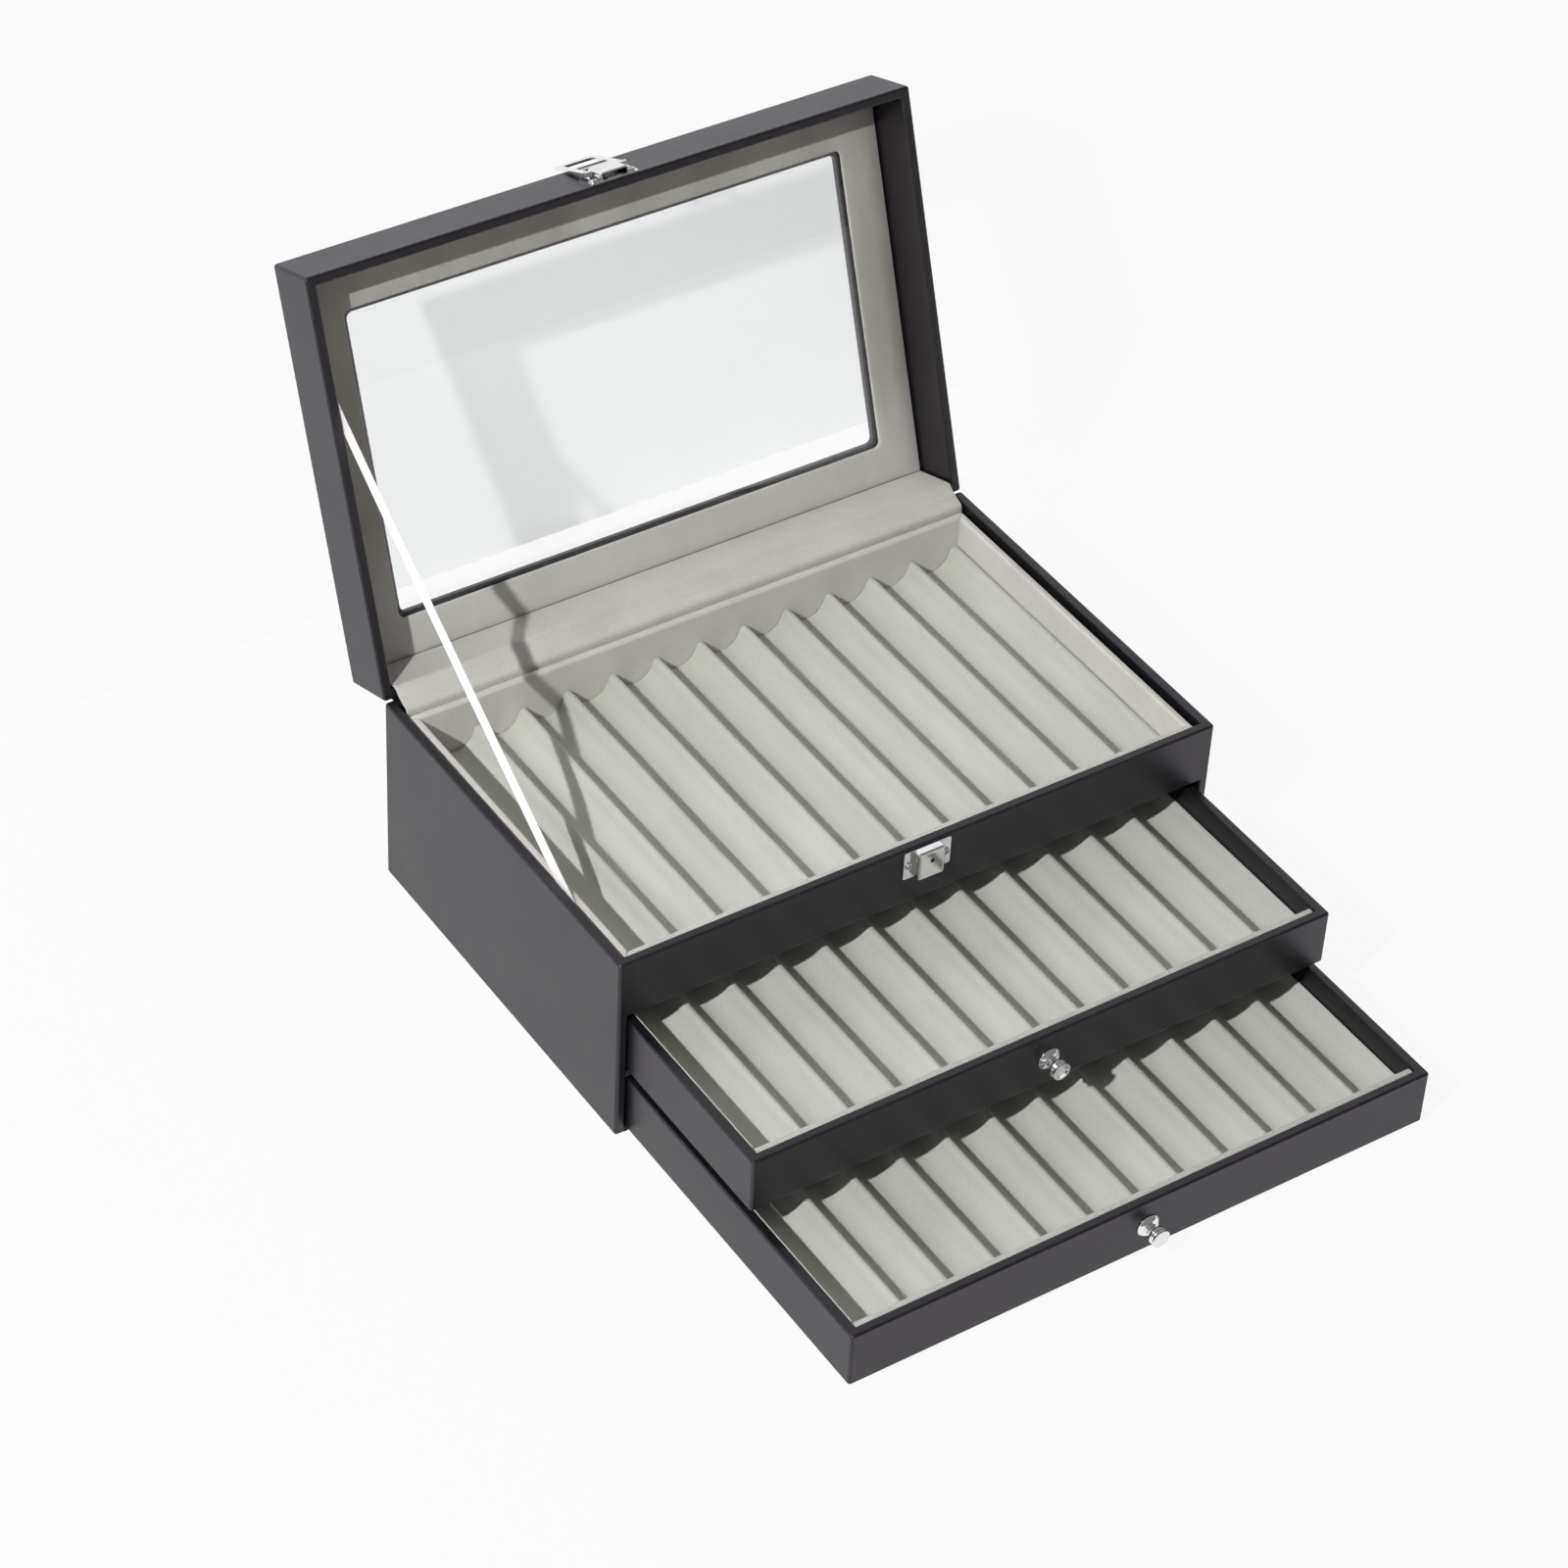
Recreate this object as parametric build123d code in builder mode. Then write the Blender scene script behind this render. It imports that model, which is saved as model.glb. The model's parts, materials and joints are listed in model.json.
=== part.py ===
"""Pen collector's chest: a leather-covered case with a grooved top tray and two grooved drawers
below it, and a hinged lid with a glass window, a ribbon that stays it and a clasp that shuts it.

Millimetres. +X runs right along the front, the front faces -Y, +Z is up. The origin is the middle
of the case's base. The chest stands as it is shown: lid open, both drawers part way out.
"""
from build123d import *
import os
from math import atan, atan2, cos, hypot, radians, sin

os.makedirs("parts", exist_ok=True)

# ---- case
CASE_W = 335.0
CASE_D = 214.0
CASE_H = 107.0
WALL = 5.0
CORNER_R = 1.6              # leather turned round an upright corner
EDGE_R = 1.2                # leather turned over a rim
INNER_EDGE_R = 0.8
RAIL_H = 33.0               # the front rail that carries the catch
DECK_T = 2.5                # board under the top tray
BASE_T = 2.5
SHELF_T = 3.5
SHELF_LOW = 1.25            # below the middle of the space for the drawers

# ---- top tray
LINER_T = 4.0               # velvet-covered boards round the tray
LINER_DROP = 1.4            # their top edge below the case's rim
LINER_EDGE_R = 1.3
LINER_LEFT_GAP = 1.0        # the ribbon goes down in it
LINER_RIGHT_GAP = 3.3
LINER_BACK_GAP = 8.0        # the hinge lining goes down in it
GROOVES = 12
GROOVE_DEPTH = 11.0
VALLEY_R = 10.5
TRAY_INSERT_DROP = 18.0     # ridges below the case's rim
TRAY_INSERT_GAP_LEFT = 0.5
TRAY_INSERT_GAP_RIGHT = 0.76
TRAY_LEDGE = 5.4            # flat, left of the first ridge
TRAY_END_LEDGE = 2.4        # flat, right of the last ridge
INSERT_END_CLEAR = 0.3

# ---- drawers
DRAWER_SIDE_CLEAR = 0.8
DRAWER_TOP_CLEAR = 1.75     # under the board above the lower drawer
DRAWER_FLOOR_T = 2.5
DRAWER_LEDGE = 5.4          # flat, left of the first ridge
DRAWER_INSERT_DROP = 12.3   # ridges below the drawer's rim
DRAWER_INSERT_CLEAR = 0.3
FLAP_T = 0.8                # the insert's velvet turned up the left wall
FLAP_DROP = 0.6
STRIP_T = 4.0               # velvet-covered board behind the drawer's front
STRIP_DROP = 1.0
STRIP_END_R = 1.2
MIDDLE_PULL = 104.0         # how far out the drawers stand
BOTTOM_PULL = 186.0

# ---- lid
LID_OPEN = 108.7            # degrees from shut
LID_T = 33.0
RIM_GAP = 0.3               # between the two rims when shut
LID_FRAME_T = 3.0
GLASS_T = 2.0
LID_LINER_T = 1.5
GLASS_CLEAR = 0.3
WINDOW_W = 275.0
WINDOW_D = 153.5
WINDOW_R = 3.5
WINDOW_SHIFT = 2.2          # the window sits nearer the hinge
LINER_WINDOW_OVER = 2.0     # the velvet's window is larger than the board's
LID_LINER_CLEAR = 1.0

# ---- hinge and stay
HINGE_STRIP_T = 0.8
HINGE_STRIP_CASE = 20.0
HINGE_STRIP_LID = 20.0
LINING_T = 1.0
LINING_SIDE_CLEAR = 1.5
LINING_TUCK = 11.0          # down behind the tray's back board
RIBBON_W = 9.0
RIBBON_T = 0.5
RIBBON_FOOT_Y = -49.4       # where it comes over the rim
RIBBON_TUCK = 12.0
RIBBON_SPARE = 20.0         # drawn past the lid, then cut to it
RIBBON_LID_S = 176.8        # where it meets the lid: along the lid from the hinge
RIBBON_LID_T = 26.0         # and into the lid from its rim

# ---- clasp
PLATE_W = 26.5
PLATE_T = 0.8
HOOD_W = 15.0
HOOD_T = 0.8
HOOD_R = 1.4
KEEPER_Q = 5.0              # how far the hoods stand off their faces
CLASP_Q = 4.8
KEEPER_PLATE_H = 16.0
KEEPER_TOP = 1.5            # below the case's rim
CLASP_PLATE_H = 13.0
CLASP_RIM = 1.2             # above the lid's rim
CLASP_HOOD_H = 13.5
PIN_D = 1.5
PIN_CLEAR = 0.05
PIN_Q = 3.2
PIN_UP = 10.0               # above the lid's rim
HASP_W = 23.0
HASP_IN_W = 16.0
HASP_T = 1.2
HASP_BAR = 10.0             # cross bar, from the pin
HASP_BAR_D = 1.6
HASP_WINDOW_END = 27.6
HASP_WINDOW_R = 0.8
HASP_LEN = 32.0
HASP_BARREL_R = 1.4
HASP_SWING = 185.5          # degrees from shut to folded back
SCREW_X = 10.5
SCREW_HEAD_D = 4.0
SCREW_HEAD_H = 1.1
SCREW_SHANK_D = 1.8
SCREW_LEN = 4.0
CROSS_W = 0.6
CROSS_DEPTH = 0.6

# ---- knobs
ROSETTE_R = 6.0
ROSETTE_H = 2.6
NECK_R = 2.6
KNOB_R = 4.7
KNOB_OUT = 10.6
KNOB_RIM = 1.2              # round edge about the face
KNOB_DISH = 0.5             # hollow of the face
KNOB_SCREW_R = 1.5
KNOB_SCREW_IN = 5.2         # thread inside the knob
KNOB_HEAD_R = 3.0
KNOB_HEAD_H = 1.8
KNOB_SINK = 2.2             # counterbore in the drawer's front board

TOL = 0.01

# ---- derived
HALF_W = CASE_W / 2
HALF_D = CASE_D / 2
IN_X = HALF_W - WALL
IN_Y = HALF_D - WALL
RAIL_Z = CASE_H - RAIL_H
DECK_TOP = RAIL_Z + DECK_T
DRAWER_W = CASE_W - 2 * WALL - 2 * DRAWER_SIDE_CLEAR
DRAWER_D = CASE_D - WALL
BOTTOM_Z = BASE_T
SHELF_Z = (RAIL_Z + BASE_T - SHELF_T) / 2 - SHELF_LOW
DRAWER_H = SHELF_Z - BOTTOM_Z - DRAWER_TOP_CLEAR
MIDDLE_Z = SHELF_Z + SHELF_T
OPEN = radians(LID_OPEN)
UP_Y, UP_Z = -cos(OPEN), sin(OPEN)          # along the open lid, away from the hinge
IN_LID_Y, IN_LID_Z = sin(OPEN), cos(OPEN)   # through the open lid, from its rim to its top
HINGE_Z = CASE_H + RIM_GAP

LID = Plane(origin=(0, HALF_D, HINGE_Z), x_dir=(1, 0, 0), z_dir=(0, IN_LID_Y, IN_LID_Z))
CASE_FRONT = Plane(origin=(0, -HALF_D, 0), x_dir=(1, 0, 0), z_dir=(0, -1, 0))
LID_FRONT = Plane(
    origin=(0, HALF_D + UP_Y * CASE_D, HINGE_Z + UP_Z * CASE_D),
    x_dir=(1, 0, 0),
    z_dir=(0, UP_Y, UP_Z),
)


def save(name, part):
    """Label one finished piece and write it under its own name."""
    part.label = name
    export_step(part, f"parts/{name}.step")


def in_lid(s, t):
    """(y, z) of a point s along the lid from the hinge and t into it from its rim."""
    return (HALF_D + UP_Y * s + IN_LID_Y * t, HINGE_Z + UP_Z * s + IN_LID_Z * t)


def leather_ring(plane, width, depth, height, wall, far_inner=True):
    """Four covered boards in a ring, standing on a plane with its front edge turned to -y."""
    up = Axis(plane.origin, plane.z_dir)
    with BuildPart() as ring:
        with BuildSketch(plane):
            RectangleRounded(width, depth, CORNER_R)
        extrude(amount=height)
        fillet(ring.edges().group_by(up)[0], EDGE_R)
        fillet(ring.edges().group_by(up)[-1], EDGE_R)
        with BuildSketch(plane):
            Rectangle(width - 2 * wall, depth - 2 * wall)
        extrude(amount=height, mode=Mode.SUBTRACT)
        near = ring.edges().group_by(up)[0 if not far_inner else -1]
        inner = []
        for edge in near:
            spot = plane.to_local_coords(edge.center())
            if abs(spot.X) < width / 2 - wall + TOL and abs(spot.Y) < depth / 2 - wall + TOL:
                inner.append(edge)
        fillet(inner, INNER_EDGE_R)
    return ring.part


def cut_between(source, *cuts):
    """What is left of a solid between some planes; each cut is (plane, side kept)."""
    with BuildPart() as piece:
        add(source)
        for plane, side in cuts:
            split(bisect_by=plane, keep=side)
    return piece.part


def groove_line(first_peak, count, pitch, top):
    """Ridges and valleys of tangent arcs; drawn inside a BuildLine, from peak to peak."""
    theta = 2 * atan(GROOVE_DEPTH / (pitch / 2))
    ridge_r = (pitch / 2) / sin(theta) - VALLEY_R
    run = ridge_r * sin(theta)
    drop = ridge_r * (1 - cos(theta))
    half_run = ridge_r * sin(theta / 2)
    half_drop = ridge_r * (1 - cos(theta / 2))
    for i in range(count):
        peak = first_peak + i * pitch
        after = peak + pitch
        ThreePointArc((peak, top), (peak + half_run, top - half_drop), (peak + run, top - drop))
        ThreePointArc(
            (peak + run, top - drop),
            (peak + pitch / 2, top - GROOVE_DEPTH),
            (after - run, top - drop),
        )
        ThreePointArc((after - run, top - drop), (after - half_run, top - half_drop), (after, top))


def band(path, thickness):
    """Closed outline of a strip of even thickness whose middle follows the path."""
    near = []
    far = []
    for i, (y, z) in enumerate(path):
        before = path[max(i - 1, 0)]
        after = path[min(i + 1, len(path) - 1)]
        turn_in = atan2(z - before[1], y - before[0]) if i else None
        turn_out = atan2(after[1] - z, after[0] - y) if i < len(path) - 1 else None
        first = turn_in if turn_in is not None else turn_out
        last = turn_out if turn_out is not None else turn_in
        mean = atan2(sin(first) + sin(last), cos(first) + cos(last))
        reach = thickness / 2 / cos(mean - first)
        near.append((y - sin(mean) * reach, z + cos(mean) * reach))
        far.append((y + sin(mean) * reach, z - cos(mean) * reach))
    return near + far[::-1]


# ---------------------------------------------------------------- case
with BuildPart() as case_shell:
    add(leather_ring(Plane.XY, CASE_W, CASE_D, CASE_H, WALL))
    with BuildSketch(CASE_FRONT):
        with Locations((0, RAIL_Z / 2)):
            Rectangle(2 * IN_X, RAIL_Z)
    extrude(amount=-WALL, mode=Mode.SUBTRACT)
    mouth = []
    for rim in case_shell.edges():
        centre = rim.center()
        if (
            abs(centre.Y + HALF_D) < TOL
            and abs(centre.X) < IN_X + TOL
            and centre.Z < RAIL_Z + TOL
        ):
            mouth.append(rim)
    fillet(mouth, INNER_EDGE_R)

LEFT_CUT = Plane.YZ.offset(-IN_X)
RIGHT_CUT = Plane.YZ.offset(IN_X)
case_left_side = cut_between(case_shell.part, (LEFT_CUT, Keep.BOTTOM))
save("case_left_side", case_left_side)
case_right_side = cut_between(case_shell.part, (RIGHT_CUT, Keep.TOP))
save("case_right_side", case_right_side)
front_rail = cut_between(
    case_shell.part, (LEFT_CUT, Keep.TOP), (RIGHT_CUT, Keep.BOTTOM), (Plane.XZ, Keep.TOP)
)
save("front_rail", front_rail)
case_back_panel = cut_between(
    case_shell.part, (LEFT_CUT, Keep.TOP), (RIGHT_CUT, Keep.BOTTOM), (Plane.XZ, Keep.BOTTOM)
)
save("case_back_panel", case_back_panel)

with BuildPart() as tray_deck:
    with BuildSketch(Plane.XY.offset(RAIL_Z)):
        Rectangle(2 * IN_X, 2 * IN_Y)
    extrude(amount=DECK_T)
save("tray_deck", tray_deck.part)


def shelf(z, thickness):
    """A flat board that a drawer slides on, from the case's front to its back panel."""
    with BuildPart() as board:
        with BuildSketch(Plane.XY.offset(z)):
            with Locations((0, -WALL / 2)):
                Rectangle(2 * IN_X, CASE_D - WALL)
        extrude(amount=thickness)
        fillet(board.edges().filter_by(Axis.X).group_by(Axis.Y)[0], INNER_EDGE_R)
    return board.part


save("drawer_shelf", shelf(SHELF_Z, SHELF_T))
save("case_base", shelf(0, BASE_T))

# ---------------------------------------------------------------- top tray
LINER_X0 = -IN_X + LINER_LEFT_GAP
LINER_X1 = IN_X - LINER_RIGHT_GAP
LINER_Y0 = -IN_Y
LINER_Y1 = IN_Y - LINER_BACK_GAP
LINER_TOP = CASE_H - LINER_DROP

with BuildPart() as liner_ring:
    with BuildSketch(Plane.XY.offset(DECK_TOP)):
        with Locations(((LINER_X0 + LINER_X1) / 2, (LINER_Y0 + LINER_Y1) / 2)):
            Rectangle(LINER_X1 - LINER_X0, LINER_Y1 - LINER_Y0)
            Rectangle(
                LINER_X1 - LINER_X0 - 2 * LINER_T,
                LINER_Y1 - LINER_Y0 - 2 * LINER_T,
                mode=Mode.SUBTRACT,
            )
    extrude(amount=LINER_TOP - DECK_TOP)
    fillet(liner_ring.edges().group_by(Axis.Z)[-1], LINER_EDGE_R)

# each board's outline in plan: the mitres run from the outer corners to the inner ones
OUT_SW = (LINER_X0, LINER_Y0)
OUT_SE = (LINER_X1, LINER_Y0)
OUT_NE = (LINER_X1, LINER_Y1)
OUT_NW = (LINER_X0, LINER_Y1)
IN_SW = (LINER_X0 + LINER_T, LINER_Y0 + LINER_T)
IN_SE = (LINER_X1 - LINER_T, LINER_Y0 + LINER_T)
IN_NE = (LINER_X1 - LINER_T, LINER_Y1 - LINER_T)
IN_NW = (LINER_X0 + LINER_T, LINER_Y1 - LINER_T)
BOARDS = {
    "tray_liner_left": (OUT_SW, OUT_NW, IN_NW, IN_SW),
    "tray_liner_right": (OUT_SE, OUT_NE, IN_NE, IN_SE),
    "tray_liner_front": (OUT_SW, OUT_SE, IN_SE, IN_SW),
    "tray_liner_back": (OUT_NW, OUT_NE, IN_NE, IN_NW),
}
for name, outline in BOARDS.items():
    with BuildPart() as board:
        add(liner_ring.part)
        with BuildSketch(Plane.XY.offset(DECK_TOP)):
            with BuildLine():
                Polyline(*outline, close=True)
            make_face()
        extrude(amount=LINER_TOP - DECK_TOP, mode=Mode.INTERSECT)
    save(name, board.part)

TRAY_INSERT_X0 = LINER_X0 + LINER_T + TRAY_INSERT_GAP_LEFT
TRAY_INSERT_X1 = LINER_X1 - LINER_T - TRAY_INSERT_GAP_RIGHT
TRAY_PEAK0 = TRAY_INSERT_X0 + TRAY_LEDGE
TRAY_PITCH = (TRAY_INSERT_X1 - TRAY_END_LEDGE - TRAY_PEAK0) / GROOVES
TRAY_RIDGE_Z = CASE_H - TRAY_INSERT_DROP
TRAY_INSERT_Y0 = LINER_Y0 + LINER_T + INSERT_END_CLEAR
TRAY_INSERT_Y1 = LINER_Y1 - LINER_T - INSERT_END_CLEAR

with BuildPart() as tray_insert:
    with BuildSketch(Plane.XZ.offset(-TRAY_INSERT_Y0)):
        with BuildLine():
            groove_line(TRAY_PEAK0, GROOVES, TRAY_PITCH, TRAY_RIDGE_Z)
            Polyline(
                (TRAY_INSERT_X1 - TRAY_END_LEDGE, TRAY_RIDGE_Z),
                (TRAY_INSERT_X1, TRAY_RIDGE_Z),
                (TRAY_INSERT_X1, DECK_TOP),
                (TRAY_INSERT_X0, DECK_TOP),
                (TRAY_INSERT_X0, TRAY_RIDGE_Z),
                (TRAY_PEAK0, TRAY_RIDGE_Z),
            )
        make_face()
    extrude(amount=-(TRAY_INSERT_Y1 - TRAY_INSERT_Y0))
save("tray_insert", tray_insert.part)


# ---------------------------------------------------------------- drawers
def drawer(name, z0, pull):
    """All the pieces of one drawer, standing on z0 and pulled out of the case's front."""
    front = -HALF_D - pull
    middle_y = front + DRAWER_D / 2
    back = front + DRAWER_D
    half_w = DRAWER_W / 2
    in_x = half_w - WALL
    ring = leather_ring(
        Plane(origin=(0, middle_y, z0)), DRAWER_W, DRAWER_D, DRAWER_H, WALL
    )
    front_cut = Plane.XZ.offset(-(front + WALL))
    back_cut = Plane.XZ.offset(-(back - WALL))
    knob_z = z0 + DRAWER_H / 2
    face = Plane(origin=(0, front, knob_z), x_dir=(1, 0, 0), z_dir=(0, -1, 0))
    turned = Plane(origin=(0, front, knob_z), x_dir=(1, 0, 0), z_dir=(0, 0, -1))
    turning = Axis((0, front, knob_z), (0, -1, 0))

    with BuildPart() as front_board:
        add(ring)
        split(bisect_by=front_cut, keep=Keep.TOP)
        with BuildSketch(face):
            Circle(KNOB_SCREW_R)
        extrude(amount=-WALL, mode=Mode.SUBTRACT)
        with BuildSketch(face.offset(-(WALL - KNOB_SINK))):
            Circle(KNOB_HEAD_R + 0.2)
        extrude(amount=-KNOB_SINK, mode=Mode.SUBTRACT)
    save(f"{name}_front", front_board.part)
    save(f"{name}_back", cut_between(ring, (back_cut, Keep.BOTTOM)))
    between = ((front_cut, Keep.BOTTOM), (back_cut, Keep.TOP))
    save(f"{name}_left_side", cut_between(ring, *between, (Plane.YZ, Keep.BOTTOM)))
    save(f"{name}_right_side", cut_between(ring, *between, (Plane.YZ, Keep.TOP)))

    with BuildPart() as floor:
        with BuildSketch(Plane(origin=(0, middle_y, z0))):
            Rectangle(2 * in_x, DRAWER_D - 2 * WALL)
        extrude(amount=DRAWER_FLOOR_T)
    save(f"{name}_floor", floor.part)

    # the board behind the front, its velvet rounded over the top and the ends
    floor_z = z0 + DRAWER_FLOOR_T
    strip_y = front + WALL + STRIP_T / 2
    with BuildPart() as strip:
        with BuildSketch(Plane(origin=(0, strip_y, floor_z))):
            Rectangle(2 * (in_x - DRAWER_INSERT_CLEAR), STRIP_T)
        extrude(amount=DRAWER_H - DRAWER_FLOOR_T - STRIP_DROP)
        fillet(strip.edges().filter_by(Axis.Z), STRIP_END_R)
        fillet(strip.edges().group_by(Axis.Z)[-1], STRIP_END_R - 0.2)
    save(f"{name}_front_liner", strip.part)

    x0 = -in_x + DRAWER_INSERT_CLEAR
    x1 = in_x - DRAWER_INSERT_CLEAR
    ridge_z = z0 + DRAWER_H - DRAWER_INSERT_DROP
    flap_z = z0 + DRAWER_H - FLAP_DROP
    peak0 = x0 + DRAWER_LEDGE
    pitch = (x1 - peak0) / GROOVES
    insert_y0 = front + WALL + STRIP_T
    insert_y1 = back - WALL - INSERT_END_CLEAR
    with BuildPart() as insert:
        with BuildSketch(Plane.XZ.offset(-insert_y0)):
            with BuildLine():
                groove_line(peak0, GROOVES, pitch, ridge_z)
                Polyline(
                    (x1, ridge_z),
                    (x1, floor_z),
                    (x0, floor_z),
                    (x0, flap_z),
                    (x0 + FLAP_T, flap_z),
                    (x0 + FLAP_T, ridge_z),
                    (peak0, ridge_z),
                )
            make_face()
        extrude(amount=-(insert_y1 - insert_y0))
    save(f"{name}_insert", insert.part)

    with BuildPart() as rosette:
        with BuildSketch(turned):
            with BuildLine():
                Line((KNOB_SCREW_R, 0), (ROSETTE_R - 0.3, 0))
                ThreePointArc((ROSETTE_R - 0.3, 0), (ROSETTE_R, 0.35), (ROSETTE_R - 0.25, 0.75))
                ThreePointArc(
                    (ROSETTE_R - 0.25, 0.75), (4.9, 1.75), (NECK_R + 0.9, ROSETTE_H)
                )
                Line((NECK_R + 0.9, ROSETTE_H), (KNOB_SCREW_R, ROSETTE_H))
                Line((KNOB_SCREW_R, ROSETTE_H), (KNOB_SCREW_R, 0))
            make_face()
        revolve(axis=turning)
    save(f"{name}_knob_base", rosette.part)

    bore_end = ROSETTE_H + KNOB_SCREW_IN
    with BuildPart() as knob:
        with BuildSketch(turned):
            with BuildLine():
                Line((KNOB_SCREW_R, ROSETTE_H), (NECK_R + 0.3, ROSETTE_H))
                Spline(
                    (NECK_R + 0.3, ROSETTE_H),
                    (NECK_R, ROSETTE_H + 1.1),
                    (NECK_R + 0.6, ROSETTE_H + 2.2),
                    (KNOB_R - 0.45, ROSETTE_H + 3.3),
                    (KNOB_R, ROSETTE_H + 5.0),
                    (KNOB_R - KNOB_RIM / 3, KNOB_OUT - KNOB_RIM / 2),
                    (KNOB_R - KNOB_RIM, KNOB_OUT),
                    tangents=((-0.4, 1), (-1, 0)),
                )
                Line((KNOB_R - KNOB_RIM, KNOB_OUT), (KNOB_R - 2 * KNOB_RIM, KNOB_OUT - KNOB_DISH))
                Line((KNOB_R - 2 * KNOB_RIM, KNOB_OUT - KNOB_DISH), (0, KNOB_OUT - KNOB_DISH))
                Line((0, KNOB_OUT - KNOB_DISH), (0, bore_end))
                Line((0, bore_end), (KNOB_SCREW_R, bore_end))
                Line((KNOB_SCREW_R, bore_end), (KNOB_SCREW_R, ROSETTE_H))
            make_face()
        revolve(axis=turning)
    save(f"{name}_knob", knob.part)

    seat = -(WALL - KNOB_SINK)
    with BuildPart() as screw:
        with BuildSketch(turned):
            with BuildLine():
                Polyline(
                    (0, bore_end),
                    (KNOB_SCREW_R, bore_end),
                    (KNOB_SCREW_R, seat),
                    (KNOB_HEAD_R, seat),
                    (KNOB_HEAD_R, seat - KNOB_HEAD_H + 0.5),
                    (KNOB_HEAD_R - 0.6, seat - KNOB_HEAD_H),
                    (0, seat - KNOB_HEAD_H),
                    close=True,
                )
            make_face()
        revolve(axis=turning)
        with BuildSketch(face.offset(seat - KNOB_HEAD_H)):
            Rectangle(KNOB_HEAD_R * 1.3, 0.7)
            Rectangle(0.7, KNOB_HEAD_R * 1.3)
        extrude(amount=0.9, mode=Mode.SUBTRACT)
    save(f"{name}_knob_screw", screw.part)


drawer("middle_drawer", MIDDLE_Z, MIDDLE_PULL)
drawer("bottom_drawer", BOTTOM_Z, BOTTOM_PULL)

# ---------------------------------------------------------------- lid
LID_CENTRE = Plane(
    origin=(0, HALF_D + UP_Y * HALF_D, HINGE_Z + UP_Z * HALF_D), x_dir=LID.x_dir, z_dir=LID.z_dir
)
lid_ring = leather_ring(LID_CENTRE, CASE_W, CASE_D, LID_T, WALL, far_inner=False)
LID_ACROSS = Plane(origin=LID_CENTRE.origin, x_dir=(1, 0, 0), z_dir=(0, UP_Y, UP_Z))
save("lid_left_wall", cut_between(lid_ring, (LEFT_CUT, Keep.BOTTOM)))
save("lid_right_wall", cut_between(lid_ring, (RIGHT_CUT, Keep.TOP)))
lid_between = ((LEFT_CUT, Keep.TOP), (RIGHT_CUT, Keep.BOTTOM))
save("lid_front_wall", cut_between(lid_ring, *lid_between, (LID_ACROSS, Keep.TOP)))
save("lid_back_wall", cut_between(lid_ring, *lid_between, (LID_ACROSS, Keep.BOTTOM)))

FRAME_AT = LID_T - LID_FRAME_T
GLASS_AT = FRAME_AT - GLASS_T
LID_LINER_AT = GLASS_AT - LID_LINER_T

with BuildPart() as lid_top_frame:
    with BuildSketch(LID_CENTRE.offset(FRAME_AT)):
        Rectangle(2 * IN_X, 2 * IN_Y)
        with Locations((0, WINDOW_SHIFT)):
            RectangleRounded(WINDOW_W, WINDOW_D, WINDOW_R, mode=Mode.SUBTRACT)
    extrude(amount=LID_FRAME_T)
save("lid_top_frame", lid_top_frame.part)

with BuildPart() as lid_glass:
    with BuildSketch(LID_CENTRE.offset(GLASS_AT)):
        Rectangle(2 * (IN_X - GLASS_CLEAR), 2 * (IN_Y - GLASS_CLEAR))
    extrude(amount=GLASS_T)
save("lid_glass", lid_glass.part)

with BuildPart() as lid_liner_frame:
    with BuildSketch(LID_CENTRE.offset(LID_LINER_AT)):
        Rectangle(2 * (IN_X - LID_LINER_CLEAR), 2 * (IN_Y - LID_LINER_CLEAR))
        with Locations((0, WINDOW_SHIFT)):
            RectangleRounded(
                WINDOW_W + 2 * LINER_WINDOW_OVER,
                WINDOW_D + 2 * LINER_WINDOW_OVER,
                WINDOW_R,
                mode=Mode.SUBTRACT,
            )
    extrude(amount=LID_LINER_T)
save("lid_liner_frame", lid_liner_frame.part)

# ---------------------------------------------------------------- hinge strips and ribbon
STRIP_BEND_T = HINGE_STRIP_T * (1 + UP_Y) / IN_LID_Y
with BuildPart() as hinge_leather:
    with BuildSketch(Plane.YZ.offset(-IN_X)):
        with BuildLine():
            Polyline(
                (HALF_D, HINGE_Z - HINGE_STRIP_CASE),
                (HALF_D, HINGE_Z),
                in_lid(0, HINGE_STRIP_LID),
                in_lid(-HINGE_STRIP_T, HINGE_STRIP_LID),
                in_lid(-HINGE_STRIP_T, STRIP_BEND_T),
                (HALF_D + HINGE_STRIP_T, HINGE_Z - HINGE_STRIP_CASE),
                close=True,
            )
        make_face()
    extrude(amount=2 * IN_X)
save("hinge_leather", hinge_leather.part)

LINING_S = WALL + 0.2 + LINING_T / 2
LINING_PATH = (
    in_lid(LINING_S, LID_LINER_AT - 0.4),
    in_lid(LINING_S, -0.4),
    (IN_Y + 3.0, CASE_H + 2.9),
    (IN_Y - 0.8, CASE_H + 1.1),
    (IN_Y - 4.4, CASE_H - 0.2),
    (IN_Y - 5.4, CASE_H - LINING_TUCK),
)
with BuildPart() as hinge_lining:
    with BuildSketch(Plane.YZ.offset(-(IN_X - LINING_SIDE_CLEAR))):
        with BuildLine():
            Polyline(*band(LINING_PATH, LINING_T), close=True)
        make_face()
    extrude(amount=2 * (IN_X - LINING_SIDE_CLEAR))
save("hinge_lining", hinge_lining.part)

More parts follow.
